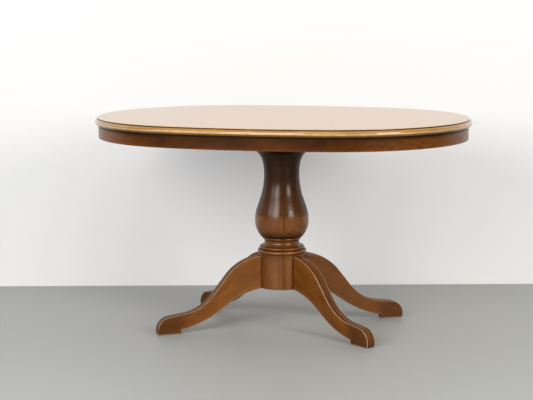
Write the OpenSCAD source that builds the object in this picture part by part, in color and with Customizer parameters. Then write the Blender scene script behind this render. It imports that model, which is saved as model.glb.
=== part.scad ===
// Oval pedestal table: moulded top on a turned column with four splayed legs.
// Units are millimetres. +Z is up, +X runs along the long axis of the top,
// and the origin is on the floor under the centre of the top.

/* [Top] */
// Overall length of the top, over the bullnose
top_length = 1282; // [900:1:1800]
// Overall width of the top, over the bullnose
top_width = 930; // [910:1:1100]
// Height of the table surface above the floor
table_height = 720; // [650:1:780]
// Plan radius of the two ends, at the bullnose
end_radius = 449; // [380:1:453]
// Thickness of the top, veneers included
top_thickness = 26; // [20:0.5:36]
// Thickness of each face veneer
veneer = 0.8; // [0.6:0.1:1.5]
// Width of the solid edging, measured in from the edge of the flat field
edging_width = 28; // [22:1:60]
// Height of the small square step around the flat field
step_height = 4; // [2:0.5:8]
// How far the bullnose stands out from the step
nose_out = 9; // [4:0.5:10]
// Radius that eases the edge of the field
field_ease = 1.2; // [0.5:0.1:2]

/* [Apron] */
// Height of the apron below the edging
apron_height = 44; // [30:1:80]
// Thickness of the bent apron
apron_thickness = 16; // [12:1:22]
// Setback of the apron from the edge of the flat field
apron_setback = 3; // [0:0.5:12]
// Radius on the lower outside edge of the apron
apron_ease = 2.5; // [1:0.5:5]
// Length of each glue block
glue_block_length = 46; // [30:1:80]
// Depth of each glue block, in from the apron
glue_block_depth = 24; // [18:1:40]
// Height of each glue block
glue_block_height = 38; // [25:1:44]

/* [Bearers and board] */
// Length of the two bearers
bearer_length = 840; // [500:10:900]
// Width of each bearer
bearer_width = 60; // [40:1:90]
// Distance of each bearer from the long axis of the top
bearer_offset = 104; // [80:1:160]
// Length of the mounting board
board_length = 320; // [260:5:420]
// Width of the mounting board
board_width = 284; // [250:2:360]
// Thickness of the mounting board
board_thickness = 26; // [18:1:32]
// Size of the clipped corners of the mounting board
board_clip = 34; // [10:1:60]

/* [Column] */
// Radius at the waist
waist_radius = 59.7; // [45:0.1:80]
// Height of the waist above the floor
waist_height = 525.2; // [480:0.2:560]
// Radius of the block that takes the legs
block_radius = 80; // [70:0.5:100]
// Height of the underside of the block
block_bottom = 138; // [120:1:160]
// Height of the top of the block, under the collar
block_top = 255; // [240:1:270]
// Direction of the glue line between the two halves of the turning
seam_angle = -70; // [-90:1:90]

/* [Legs] */
// Angle between each leg and the long axis of the top
leg_angle = 34.3; // [25:0.1:45]
// Thickness of each leg
leg_width = 35.5; // [28:0.5:35.5]
// Height of the shaped upper edge where the leg meets the block
leg_top = 246.5; // [235:0.5:250]
// Thickness of the felt under each foot
felt = 2.5; // [1:0.5:5]
// Radius of the bead along each upper edge
bead = 3.2; // [2:0.1:5]
// Rise of the crowned band between the beads
crown = 4.2; // [3.5:0.1:6]

/* [Fixings] */
// Diameter of the tie rod
rod_d = 12; // [8:1:16]
// Diameter of the hanger bolts
bolt_d = 8; // [6:1:10]
// Diameter of the leg dowels
dowel_d = 10; // [8:1:14]
// Length of the leg dowels
dowel_length = 50; // [36:2:70]
// Diameter of the wood screws
screw_d = 5; // [3.5:0.5:6]
// Depth of the hollow that the hanger bolts end in
pocket_depth = 76; // [60:1:90]

/* [Hidden] */
$fn = 96;
// Facets of the side arcs, the end arcs, the turning, small round parts and screws.
side_facets = 720;
end_facets = 360;
turned_facets = 128;
small_facets = 32;
screw_facets = 20;

wood_field = [0.62, 0.38, 0.20];
wood_edge = [0.66, 0.43, 0.20];
wood_apron = [0.36, 0.17, 0.08];
wood_column = [0.40, 0.21, 0.09];
wood_leg = [0.46, 0.25, 0.11];
wood_inner = [0.72, 0.58, 0.40];
board_raw = [0.66, 0.55, 0.40];
steel = [0.70, 0.70, 0.68];
felt_grey = [0.25, 0.23, 0.21];

// Plan of the top: a four-centre oval, two end arcs and two side arcs.
half_l = top_length / 2 - nose_out;
half_w = top_width / 2 - nose_out;
end_r = end_radius - nose_out;
end_c = half_l - end_r;
side_r = (end_c * end_c + half_w * half_w - end_r * end_r) / (2 * (half_w - end_r));
side_c = side_r - half_w;
join_a = atan2(side_c, end_c);

under_top = table_height - top_thickness;
nose_r = (top_thickness - step_height) / 2;
nose_z = under_top + nose_r;
nose_x = nose_out - nose_r;
apron_z = under_top - apron_height;
apron_in = apron_setback + apron_thickness;
board_z = apron_z - board_thickness;
core_h = top_thickness - 2 * veneer;

// Column turning, from the waist up and down: radius, end slope of each arc.
neck_r1 = 186.3;
neck_a = 13;
flare_r = 65.9;
flare_a = 70;
shoulder_r = 253;
shoulder_a = 18.7;
cone_len = 34.6;
bulb_r = 139.4;
bulb_a = 0.7;
base_r = 80.1;
bulb_foot = 311.5;
neck_up = [waist_radius + neck_r1 * (1 - cos(neck_a)), waist_height + neck_r1 * sin(neck_a)];
flare_c = [neck_up[0] + flare_r * cos(neck_a), neck_up[1] - flare_r * sin(neck_a)];
flare_end = [flare_c[0] - flare_r * cos(flare_a), flare_c[1] + flare_r * sin(flare_a)];
neck_dn = [waist_radius + shoulder_r * (1 - cos(shoulder_a)), waist_height - shoulder_r * sin(shoulder_a)];
cone_dn = [neck_dn[0] + cone_len * sin(shoulder_a), neck_dn[1] - cone_len * cos(shoulder_a)];
bulb_c = [cone_dn[0] - bulb_r * cos(shoulder_a), cone_dn[1] - bulb_r * sin(shoulder_a)];
bulb_dn = [bulb_c[0] + bulb_r * cos(bulb_a), bulb_c[1] - bulb_r * sin(bulb_a)];
base_c = [bulb_dn[0] - base_r * cos(bulb_a), bulb_dn[1] + base_r * sin(bulb_a)];
tenon_r = 27;
lip = 3;
quirk = 1.4;
// Angle left between the two arcs that meet at the waist.
waist_gap = 1;
big_bead_r = 7.7;
big_bead = [75.5, block_top + big_bead_r];
big_bead_a = [-62, 75];
small_bead_r = 3.9;
small_bead = [73.3, block_top + 20];
small_bead_a = [-62, 90];
bead_gap = 1;
cove_r = 13.5;
cove = [72.5, 295];
cove_a = [270, 144];
astragal_r = 4.2;
astragal = [61.5, 307.3];
astragal_a = [-75, 75];
rod_hole = rod_d / 2 + 0.5;

// Hollow in the block: round, with a flat behind every leg.
pocket_r = 50;
pocket_flat = 44;
pocket_top = block_bottom + pocket_depth;
cover_r = 62;
cover_t = 4;
cover_screw_r = 56;
cover_gap = 0.5;
far = 200;

// Leg outline in its own plane: distance from the column axis, height.
leg_in = block_radius - 2;
top_a0 = 3.9;
top_r1 = 167.9;
top_am = 51.7;
top_line = 75.9;
top_r2 = 162.6;
top_a1 = 7.9;
toe_line = 53;
toe_r = 42;
low_a0 = 6.4;
low_r1 = 247;
low_am = 33.9;
low_line = 59.4;
low_r2 = 307.6;
low_a1 = 9.1;
pad_in = 362.6;
pad_slant = 2;
up_c1 = [leg_in - top_r1 * sin(top_a0), leg_top - top_r1 * cos(top_a0)];
up_p1 = up_c1 + top_r1 * [sin(top_am), cos(top_am)];
up_p2 = up_p1 + top_line * [cos(top_am), -sin(top_am)];
up_c2 = up_p2 + top_r2 * [sin(top_am), cos(top_am)];
up_p3 = up_c2 - top_r2 * [sin(top_a1), cos(top_a1)];
up_p4 = up_p3 + toe_line * [cos(top_a1), -sin(top_a1)];
up_c3 = up_p4 - toe_r * [sin(top_a1), cos(top_a1)];
dn_c1 = [leg_in - low_r1 * sin(low_a0), block_bottom - low_r1 * cos(low_a0)];
dn_p1 = dn_c1 + low_r1 * [sin(low_am), cos(low_am)];
dn_p2 = dn_p1 + low_line * [cos(low_am), -sin(low_am)];
dn_c2 = dn_p2 + low_r2 * [sin(low_am), cos(low_am)];
dn_p3 = dn_c2 - low_r2 * [sin(low_a1), cos(low_a1)];

arc_steps = 20;
bead_steps = 8;
sunk = 1;
hair = 0.1;
edge_gap = 0.4;
groove = 1.3;
groove_floor = 0.2;
crown_r = 40;
bead_facets = 16;
crown_facets = 72;
bend_facets = 120;
// Angles by which the outline runs past the block, and under the toe.
past = 3;
toe_under = -30;
// Size of the blocks that trim a leg at the column and at the floor.
cut = 50;

leg_angles = [180 + leg_angle, -leg_angle, leg_angle, 180 - leg_angle];
dowel_z = [157, 226];
bolt_z = 190;
bolt_in = 32;
bolt_out = 126;
washer_t = 2;
nut_t = 6.5;
nut_af = 13;
bolt_washer_r = 11;
rod_washer_r = 18;
rod_washer_t = 3;
rod_nut_t = 10;
rod_nut_af = 19;
rod_end = 5;

// Height of a screw head as a share of its diameter, and place of a screw in its glue block.
head_share = 0.6;
screw_share = 0.62;
long_screw = 60;
block_screw = 48;
cover_screw = 22;
cover_screw_d = screw_d * 0.8;
bearer_slant = 0.6;
bearer_screw_x = [-360, -220, 220, 360];
board_screw_x = [-112, 0, 112];
block_angles = [-join_a, 0, join_a];

// ---------- shared shapes ----------

// Points along an arc, centre c and radius r, from one angle to another.
function arc(c, r, from, to, steps = arc_steps) =
    [for (i = [0:steps]) c + r * [cos(from + (to - from) * i / steps),
                                  sin(from + (to - from) * i / steps)]];

// Filled oval, set in from the edge of the flat field.
module oval(inset) {
    jx = end_c + (end_r - inset) * cos(join_a);
    intersection() {
        translate([0, -side_c]) circle(side_r - inset, $fn = side_facets);
        translate([0, side_c]) circle(side_r - inset, $fn = side_facets);
        square([2 * jx, 2 * half_w], center = true);
    }
    for (s = [-1, 1]) intersection() {
        translate([s * end_c, 0]) circle(end_r - inset, $fn = end_facets);
        translate([s * (jx + half_l / 2), 0]) square([half_l, 2 * half_w], center = true);
    }
}

// Sweep a section along part of an end arc; its x is measured out from the field edge.
module end_sweep(side, from, to) {
    translate([side * end_c, 0, 0]) rotate([0, 0, from])
        rotate_extrude(angle = to - from, $fn = end_facets) translate([end_r, 0]) children();
}

// Sweep a section along a side arc.
module side_sweep(side) {
    translate([0, -side * side_c, 0]) rotate([0, 0, side > 0 ? join_a : 180 + join_a])
        rotate_extrude(angle = 180 - 2 * join_a, $fn = side_facets) translate([side_r, 0]) children();
}

module edging_section() {
    translate([-edging_width, under_top]) square([edging_width + nose_x, top_thickness]);
    translate([nose_x, nose_z]) square([-nose_x, table_height - field_ease - nose_z]);
    translate([nose_x, nose_z]) square([-nose_x - field_ease, table_height - nose_z]);
    translate([-field_ease, table_height - field_ease]) circle(field_ease, $fn = small_facets);
    translate([nose_x, nose_z]) circle(nose_r);
}

module apron_section() {
    translate([-apron_in, apron_z]) square([apron_thickness - apron_ease, apron_height]);
    translate([-apron_setback - apron_ease, apron_z + apron_ease])
        square([apron_ease, apron_height - apron_ease]);
    translate([-apron_setback - apron_ease, apron_z + apron_ease]) circle(apron_ease, $fn = small_facets);
}

// Countersunk wood screw, head down at z = 0, driven upwards.
module screw(length, d) {
    head_h = d * head_share;
    rotate_extrude($fn = screw_facets) polygon([[0, 0], [d, 0], [d / 2, head_h], [d / 2, length - d],
                                      [0, length]]);
}

module screws_at(points, length, d) {
    for (p = points) translate(p) screw(length, d);
}

board_points = [for (x = board_screw_x, s = [-1, 1]) [x, s * bearer_offset, board_z]];
bearer_points = [for (x = bearer_screw_x, s = [-1, 1]) [x, s * bearer_offset, apron_z]];
block_z = under_top - glue_block_height;
block_reach = apron_in + glue_block_depth * screw_share;
block_points = concat(
    [for (s = [-1, 1], a = block_angles)
        [s * (end_c + (end_r - block_reach) * cos(a)), (end_r - block_reach) * sin(a), block_z]],
    [for (s = [-1, 1]) [0, s * (half_w - block_reach), block_z]]);
cover_points = [for (a = [0:90:270]) [cover_screw_r * cos(a), cover_screw_r * sin(a), block_bottom]];

// ---------- top ----------

module top_veneer() {
    color(wood_field) translate([0, 0, table_height - veneer])
        linear_extrude(veneer) oval(edging_width);
}

module top_core() {
    color(board_raw) difference() {
        translate([0, 0, under_top + veneer]) linear_extrude(core_h) oval(edging_width);
        screws_at(bearer_points, long_screw, screw_d);
        screws_at(block_points, block_screw, screw_d);
    }
}

module top_backing() {
    color(wood_inner) difference() {
        translate([0, 0, under_top]) linear_extrude(veneer) oval(edging_width);
        screws_at(bearer_points, long_screw, screw_d);
        screws_at(block_points, block_screw, screw_d);
    }
}

module edging_front() { color(wood_edge) side_sweep(-1) edging_section(); }
module edging_rear() { color(wood_edge) side_sweep(1) edging_section(); }
module edging_right_front() { color(wood_edge) end_sweep(1, -join_a, 0) edging_section(); }
module edging_right_rear() { color(wood_edge) end_sweep(1, 0, join_a) edging_section(); }
module edging_left_front() { color(wood_edge) end_sweep(-1, 180, 180 + join_a) edging_section(); }
module edging_left_rear() { color(wood_edge) end_sweep(-1, 180 - join_a, 180) edging_section(); }

// ---------- apron and framing under the top ----------

module apron_front() { color(wood_apron) side_sweep(-1) apron_section(); }
module apron_rear() { color(wood_apron) side_sweep(1) apron_section(); }
module apron_right() { color(wood_apron) end_sweep(1, -join_a, join_a) apron_section(); }
module apron_left() { color(wood_apron) end_sweep(-1, 180 - join_a, 180 + join_a) apron_section(); }

// One glue block, its back shaped to the inside of the apron.
module glue_block(x, y, a, reach) {
    intersection() {
        translate([x, y, block_z]) rotate([0, 0, a])
            translate([reach - glue_block_depth, -glue_block_length / 2, 0])
                cube([2 * glue_block_depth, glue_block_length, glue_block_height]);
        translate([0, 0, block_z]) linear_extrude(glue_block_height) oval(apron_in);
    }
}

module glue_blocks() {
    color(wood_inner) difference() {
        union() {
            for (a = block_angles) {
                glue_block(end_c, 0, a, end_r - apron_in);
                glue_block(-end_c, 0, 180 - a, end_r - apron_in);
            }
            for (a = [90, -90]) glue_block(0, 0, a, half_w - apron_in);
        }
        screws_at(block_points, block_screw, screw_d);
    }
}

module glue_block_screws() { color(steel) screws_at(block_points, block_screw, screw_d); }

// Bearer with both lower ends cut back at a slant.
module bearer(side) {
    slant = apron_height * bearer_slant;
    difference() {
        translate([0, side * bearer_offset + bearer_width / 2, 0]) rotate([90, 0, 0])
            linear_extrude(bearer_width) polygon([
                [-bearer_length / 2, under_top], [-bearer_length / 2, under_top - slant],
                [-bearer_length / 2 + slant, apron_z], [bearer_length / 2 - slant, apron_z],
                [bearer_length / 2, under_top - slant], [bearer_length / 2, under_top]]);
        screws_at(bearer_points, long_screw, screw_d);
        screws_at(board_points, long_screw, screw_d);
    }
}

module bearer_front() { color(wood_inner) bearer(-1); }
module bearer_rear() { color(wood_inner) bearer(1); }
module bearer_screws() { color(steel) screws_at(bearer_points, long_screw, screw_d); }

module mounting_board() {
    hl = board_length / 2;
    hw = board_width / 2;
    color(wood_inner) difference() {
        translate([0, 0, board_z]) linear_extrude(board_thickness) difference() {
            polygon([[-hl, -hw + board_clip], [-hl + board_clip, -hw], [hl - board_clip, -hw],
                     [hl, -hw + board_clip], [hl, hw - board_clip], [hl - board_clip, hw],
                     [-hl + board_clip, hw], [-hl, hw - board_clip]]);
            circle(tenon_r);
        }
        screws_at(board_points, long_screw, screw_d);
    }
}

module board_screws() { color(steel) screws_at(board_points, long_screw, screw_d); }

// ---------- column ----------

// Half section of the turning, from the foot of the block up to the tenon.
module column_section() {
    bulb_low = asin((base_c[1] - bulb_foot) / base_r);
    polygon(concat(
        [[0, block_bottom], [block_radius, block_bottom], [block_radius, block_top - quirk],
         [block_radius - quirk, block_top]],
        arc(big_bead, big_bead_r, big_bead_a[0], big_bead_a[1], bead_steps),
        [[small_bead[0], big_bead[1] + big_bead_r],
         [small_bead[0], big_bead[1] + big_bead_r + bead_gap]],
        arc(small_bead, small_bead_r, small_bead_a[0], small_bead_a[1], bead_steps),
        arc(cove, cove_r, cove_a[0], cove_a[1], bead_steps),
        arc(astragal, astragal_r, astragal_a[0], astragal_a[1], bead_steps),
        arc(base_c, base_r, -bulb_low, -bulb_a),
        arc(bulb_c, bulb_r, 0, shoulder_a),
        arc([waist_radius + shoulder_r, waist_height], shoulder_r, 180 + shoulder_a, 180 + waist_gap),
        arc([waist_radius + neck_r1, waist_height], neck_r1, 180, 180 + waist_gap - neck_a),
        arc(flare_c, flare_r, 180 - neck_a, 180 - flare_a),
        [[flare_end[0] + lip, flare_end[1]], [flare_end[0] + lip, board_z], [tenon_r, board_z],
         [tenon_r, apron_z], [0, apron_z]]));
}

module column_whole() {
    difference() {
        rotate_extrude($fn = turned_facets) column_section();
        translate([0, 0, block_bottom - 1]) cylinder(h = board_z, r = rod_hole, $fn = small_facets);
        translate([0, 0, block_bottom - 1]) cylinder(h = cover_t + 1, r = cover_r);
        translate([0, 0, block_bottom]) linear_extrude(pocket_depth) intersection() {
            circle(pocket_r);
            pocket_flats();
        }
        for (a = leg_angles) rotate([0, 0, a])
            translate([leg_in, -leg_width, block_bottom - 1])
                cube([block_radius, 2 * leg_width, block_top - 2 * quirk - block_bottom + 1]);
        leg_fixing_holes();
        screws_at(cover_points, cover_screw, cover_screw_d);
    }
}

// Four-sided outline with one side square to every leg.
module pocket_flats() {
    reach_x = pocket_flat / cos(leg_angle);
    reach_y = pocket_flat / sin(leg_angle);
    polygon([[reach_x, 0], [0, reach_y], [-reach_x, 0], [0, -reach_y]]);
}

module half_space(side) {
    rotate([0, 0, seam_angle]) translate([-far, side > 0 ? 0 : -far, 0]) cube([2 * far, far, table_height]);
}

module column_left_half() { color(wood_column) intersection() { column_whole(); half_space(-1); } }
module column_right_half() { color(wood_column) intersection() { column_whole(); half_space(1); } }

module base_cover() {
    color(board_raw) difference() {
        translate([0, 0, block_bottom]) cylinder(h = cover_t, r = cover_r - cover_gap);
        screws_at(cover_points, cover_screw, cover_screw_d);
    }
}

module cover_screws() { color(steel) screws_at(cover_points, cover_screw, cover_screw_d); }

// ---------- tie rod ----------

rod_low = pocket_top - rod_washer_t - rod_nut_t;
rod_high = apron_z + rod_washer_t;

module tie_rod() {
    color(steel) translate([0, 0, rod_low - rod_end])
        cylinder(h = rod_high + rod_nut_t - rod_low + 2 * rod_end, d = rod_d, $fn = small_facets);
}

module rod_washers() {
    color(steel) for (z = [pocket_top - rod_washer_t, apron_z]) translate([0, 0, z]) difference() {
        cylinder(h = rod_washer_t, r = rod_washer_r, $fn = small_facets);
        translate([0, 0, -1]) cylinder(h = rod_washer_t + 2, d = rod_d, $fn = small_facets);
    }
}

module rod_nuts() {
    color(steel) for (z = [rod_low, rod_high]) translate([0, 0, z]) difference() {
        cylinder(h = rod_nut_t, r = rod_nut_af / 2 / cos(30), $fn = 6);
        translate([0, 0, -1]) cylinder(h = rod_nut_t + 2, d = rod_d, $fn = small_facets);
    }
}

// ---------- legs ----------

// Side outline of a leg, kept a little under the moulding that covers its upper edge.
module leg_outline() {
    polygon(concat(
        arc(up_c1, top_r1 - sunk, 90 + past - top_a0, 90 - top_am),
        arc(up_c2, top_r2 + sunk, 270 - top_am, 270 - top_a1),
        arc(up_c3, toe_r - sunk, 90 - top_a1, toe_under),
        [[pad_in + pad_slant, felt - 1], [pad_in, dn_p3[1]]],
        arc(dn_c2, low_r2, 270 - low_a1, 270 - low_am),
        arc(dn_c1, low_r1, 90 - low_am, 90 + past - low_a0)));
}

// Section of the moulded edge: bead, quirk, crowned band, quirk, bead.
module moulding() {
    half = leg_width / 2 - edge_gap;
    band = half - 2 * bead - groove;
    translate([-2 * sunk, -half + edge_gap])
        square([2 * sunk + groove_floor, 2 * half - 2 * edge_gap]);
    for (s = [-1, 1]) translate([edge_gap, s * (half - bead)]) circle(bead, $fn = bead_facets);
    intersection() {
        translate([crown - crown_r, 0]) circle(crown_r, $fn = crown_facets);
        translate([-2 * sunk, -band]) square([crown + 4 * sunk, 2 * band]);
    }
}

// Moulding bent round a centre, its crown inwards in a hollow. Bends and straight lengths
// all stop a hair short of their ends, because each of them is worked separately.
module bend(c, r, from, to, hollow = false) {
    trim = asin(hair / r);
    translate([c[0], c[1], 0]) rotate([0, 0, from + trim])
        rotate_extrude(angle = to - from - 2 * trim, $fn = bend_facets) translate([r, 0])
            if (hollow) mirror([1, 0]) moulding();
            else moulding();
}

module straight(p, a, length) {
    translate([p[0], p[1], 0]) rotate([0, 0, -a]) translate([hair, 0, 0]) rotate([90, 0, 90])
        linear_extrude(length - 2 * hair) moulding();
}

// One leg, lying in the XZ plane with its upper end against the block.
module leg() {
    difference() {
        rotate([90, 0, 0]) {
            translate([0, 0, -leg_width / 2]) linear_extrude(leg_width) leg_outline();
            bend(up_c1, top_r1, 90 - top_am, 90 + past - top_a0);
            straight(up_p1, top_am, top_line);
            bend(up_c2, top_r2, 270 - top_am, 270 - top_a1, hollow = true);
            straight(up_p3, top_a1, toe_line);
            bend(up_c3, toe_r, toe_under, 90 - top_a1);
        }
        translate([leg_in - cut, -leg_width, 0]) cube([cut, 2 * leg_width, 2 * leg_top]);
        translate([pad_in - cut, -leg_width, felt - cut]) cube([3 * cut, 2 * leg_width, cut]);
        fixing_bores();
    }
}

// Dowel and bolt bores of one leg, along +X.
module fixing_bores() {
    for (z = dowel_z) translate([leg_in - dowel_length / 2, 0, z]) rotate([0, 90, 0])
        cylinder(h = dowel_length, d = dowel_d, $fn = small_facets);
    translate([bolt_in, 0, bolt_z]) rotate([0, 90, 0])
        cylinder(h = bolt_out - bolt_in, d = bolt_d, $fn = small_facets);
}

module leg_fixing_holes() { for (a = leg_angles) rotate([0, 0, a]) fixing_bores(); }

module leg_front_left() { color(wood_leg) rotate([0, 0, leg_angles[0]]) leg(); }
module leg_front_right() { color(wood_leg) rotate([0, 0, leg_angles[1]]) leg(); }
module leg_rear_right() { color(wood_leg) rotate([0, 0, leg_angles[2]]) leg(); }
module leg_rear_left() { color(wood_leg) rotate([0, 0, leg_angles[3]]) leg(); }

module leg_dowels() {
    color(wood_inner) for (a = leg_angles, z = dowel_z) rotate([0, 0, a])
        translate([leg_in - dowel_length / 2, 0, z]) rotate([0, 90, 0])
            cylinder(h = dowel_length, d = dowel_d, $fn = small_facets);
}

module hanger_bolts() {
    color(steel) for (a = leg_angles) rotate([0, 0, a]) translate([bolt_in, 0, bolt_z])
        rotate([0, 90, 0]) cylinder(h = bolt_out - bolt_in, d = bolt_d, $fn = small_facets);
}

module hanger_washers() {
    color(steel) for (a = leg_angles) rotate([0, 0, a])
        translate([pocket_flat - washer_t, 0, bolt_z]) rotate([0, 90, 0]) difference() {
            cylinder(h = washer_t, r = bolt_washer_r, $fn = small_facets);
            translate([0, 0, -1]) cylinder(h = washer_t + 2, d = bolt_d, $fn = small_facets);
        }
}

module hanger_nuts() {
    color(steel) for (a = leg_angles) rotate([0, 0, a])
        translate([pocket_flat - washer_t - nut_t, 0, bolt_z]) rotate([0, 90, 0]) difference() {
            cylinder(h = nut_t, r = nut_af / 2 / cos(30), $fn = 6);
            translate([0, 0, -1]) cylinder(h = nut_t + 2, d = bolt_d, $fn = small_facets);
        }
}

module felt_pads() {
    pad_end = up_c3[0] + sqrt(pow(toe_r, 2) - pow(up_c3[1] - felt, 2));
    color(felt_grey) for (a = leg_angles) rotate([0, 0, a])
        translate([pad_in + pad_slant + 1, 1 - leg_width / 2, 0])
            cube([pad_end - pad_in - pad_slant - 2, leg_width - 2, felt]);
}

top_veneer();
top_core();
top_backing();
edging_front();
edging_rear();
edging_right_front();
edging_right_rear();
edging_left_front();
edging_left_rear();
apron_front();
apron_rear();
apron_right();
apron_left();
glue_blocks();
glue_block_screws();
bearer_front();
bearer_rear();
bearer_screws();
mounting_board();
board_screws();
column_left_half();
column_right_half();
base_cover();
cover_screws();
tie_rod();
rod_washers();
rod_nuts();
leg_front_left();
leg_front_right();
leg_rear_left();
leg_rear_right();
leg_dowels();
hanger_bolts();
hanger_washers();
hanger_nuts();
felt_pads();
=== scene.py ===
import math

import bmesh
import bpy
import numpy as np
from mathutils import Matrix, Vector
from mathutils.geometry import tessellate_polygon


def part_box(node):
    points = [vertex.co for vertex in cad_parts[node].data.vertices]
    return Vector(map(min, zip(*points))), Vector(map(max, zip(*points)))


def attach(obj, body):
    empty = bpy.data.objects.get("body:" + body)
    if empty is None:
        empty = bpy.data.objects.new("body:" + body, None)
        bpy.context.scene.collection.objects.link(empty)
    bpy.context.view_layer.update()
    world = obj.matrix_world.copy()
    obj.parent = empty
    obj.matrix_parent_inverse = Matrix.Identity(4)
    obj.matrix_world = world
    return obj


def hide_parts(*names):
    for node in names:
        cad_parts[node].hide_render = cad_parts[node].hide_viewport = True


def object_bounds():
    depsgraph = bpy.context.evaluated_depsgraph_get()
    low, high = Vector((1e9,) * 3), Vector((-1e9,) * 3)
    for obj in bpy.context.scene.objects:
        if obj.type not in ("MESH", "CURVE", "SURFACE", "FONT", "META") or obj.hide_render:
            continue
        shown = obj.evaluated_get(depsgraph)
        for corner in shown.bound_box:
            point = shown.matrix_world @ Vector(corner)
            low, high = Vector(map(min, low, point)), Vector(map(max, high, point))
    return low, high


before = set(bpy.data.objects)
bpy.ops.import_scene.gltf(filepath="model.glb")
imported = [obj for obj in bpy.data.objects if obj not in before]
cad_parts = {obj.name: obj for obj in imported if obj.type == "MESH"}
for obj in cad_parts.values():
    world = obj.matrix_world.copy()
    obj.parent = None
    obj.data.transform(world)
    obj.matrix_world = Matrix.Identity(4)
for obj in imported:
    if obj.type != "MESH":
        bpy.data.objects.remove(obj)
cad_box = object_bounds()

MM = 0.001


def rad(a):
    return math.radians(a)


def sin_d(a):
    return math.sin(rad(a))


def cos_d(a):
    return math.cos(rad(a))


# -------------------- measures
# Millimetres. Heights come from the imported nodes; the shapes repeat the radii and angles of part.scad.

def heights(node):
    """Lowest and highest point of a CAD node."""
    return [p.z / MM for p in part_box(node)]


veneer_z, top_z = heights("top_veneer")
nose_low = heights("edging_front")[0]
apron_z = heights("apron_front")[0]
board_z = heights("mounting_board")[0]
block_z = heights("column_left_half")[0]
felt_z = heights("felt_pads")[1]

nose_out = 9.0
half_l = cad_box[1].x / MM - nose_out
half_w = cad_box[1].y / MM - nose_out
end_r = 440.0
end_c = half_l - end_r
side_r = (end_c ** 2 + half_w ** 2 - end_r ** 2) / (2 * (half_w - end_r))
side_c = side_r - half_w
join_a = math.degrees(math.atan2(side_c, end_c))
edging_width = 28.0
apron_in = 19.0
leg_angle = 34.3
leg_in = 78.0
block_r = 80.0


# -------------------- mesh helpers

def arc(centre, radius, start, stop, steps):
    """Points of an arc, from one angle to another, in degrees."""
    a = np.radians(np.linspace(start, stop, steps + 1))
    return [(centre[0] + radius * math.cos(t), centre[1] + radius * math.sin(t)) for t in a]


def spaced(rows, gap):
    """A closed section of (out, height, tone), with points added so that none are further apart than gap."""
    out = []
    for a, b in zip(np.array(rows, float), np.array(rows[1:] + rows[:1], float)):
        k = max(1, int(math.ceil(np.linalg.norm((b - a)[:2]) / gap)))
        out += [tuple(a + (b - a) * j / k) for j in range(k)]
    return out


def linked(name, data):
    """A new object in the scene."""
    piece = bpy.data.objects.new(name, data)
    bpy.context.scene.collection.objects.link(piece)
    return piece


def build(name, verts, faces, grain, tone, sharp=32.0, weld=0.0):
    """A piece from vertices in millimetres. grain is where each point sits in the timber, along its fibres
    first, and tone runs from -1, the darkest painted shade, in a corner, groove or under an overhang, to 1, a
    pale line that is partly an edge rubbed bright and partly a painted highlight. Edges over sharp
    degrees stay sharp, and points closer than weld become one."""
    mesh = bpy.data.meshes.new(name)
    mesh.from_pydata((np.asarray(verts, float) * MM).tolist(), [], [tuple(f) for f in faces])
    g = mesh.attributes.new("grain", "FLOAT_VECTOR", "POINT")
    g.data.foreach_set("vector", (np.asarray(grain, float) * MM).astype(np.float32).ravel())
    t = mesh.attributes.new("tone", "FLOAT", "POINT")
    t.data.foreach_set("value", np.asarray(tone, np.float32))
    bm = bmesh.new()
    bm.from_mesh(mesh)
    if weld:
        bmesh.ops.remove_doubles(bm, verts=bm.verts, dist=weld * MM)
        bmesh.ops.dissolve_degenerate(bm, edges=bm.edges, dist=weld * MM * 0.5)
    bmesh.ops.recalc_face_normals(bm, faces=bm.faces)
    bm.to_mesh(mesh)
    bm.free()
    mesh.polygons.foreach_set("use_smooth", [True] * len(mesh.polygons))
    mesh.set_sharp_from_angle(angle=rad(sharp))
    return linked(name, mesh)


def grid_faces(n, m, closed_path=False, closed_section=True):
    """Quads between n rings of m points."""
    faces = []
    for i in range(n if closed_path else n - 1):
        for j in range(m if closed_section else m - 1):
            k = (j + 1) % m
            i2 = (i + 1) % n
            faces.append((i * m + j, i * m + k, i2 * m + k, i2 * m + j))
    return faces


def capped(n, m):
    """The same quads, with the first and the last ring closed."""
    return grid_faces(n, m) + [tuple(range(m - 1, -1, -1)), tuple((n - 1) * m + j for j in range(m))]


class Solid:
    """One solid, built up from rings of points."""

    def __init__(self):
        self.verts, self.tone, self.faces = [], [], []

    def ring(self, points, z, tone):
        start = len(self.verts)
        self.verts += [(x, y, z) for x, y in points]
        self.tone += [tone] * (len(self.verts) - start)
        return list(range(start, len(self.verts)))

    def wall(self, *rings):
        for one, two in zip(rings, rings[1:]):
            m = len(one)
            self.faces += [(one[j], one[(j + 1) % m], two[(j + 1) % m], two[j]) for j in range(m)]

    def cap(self, *loops):
        """A flat face with holes: the first loop is its outline."""
        flat = [i for loop in loops for i in loop]
        for tri in tessellate_polygon([[Vector(self.verts[i]) for i in loop] for loop in loops]):
            self.faces.append(tuple(flat[k] for k in tri))


class Gather:
    """Several solids gathered in one piece."""

    def __init__(self):
        self.verts, self.faces, self.grain, self.tone = [], [], [], []

    def add(self, verts, faces, grain, tone, place):
        """Another solid, moved by the matrix place. Its grain stays with it."""
        base = len(self.verts)
        turn, move = np.array(place.to_3x3()), np.array(place.translation)
        self.verts += (np.asarray(verts, float) @ turn.T + move).tolist()
        self.grain += grain
        self.tone += tone
        self.faces += [tuple(base + i for i in f) for f in faces]

    def finish(self, name, material, slot, node, sharp=30.0, weld=0.0):
        piece = build(name, self.verts, self.faces, self.grain, self.tone, sharp, weld)
        finish_piece(piece, material, node)


def finish_piece(piece, material, node):
    """Gives a piece its material and its place in the frame. node is the CAD node it replaces."""
    piece.data.materials.append(material)
    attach(piece, "root")
    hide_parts(node)


# -------------------- materials

def scaled(colour, k, lift=0.0):
    return tuple(min(1.0, c * k + lift) for c in colour)


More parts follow.
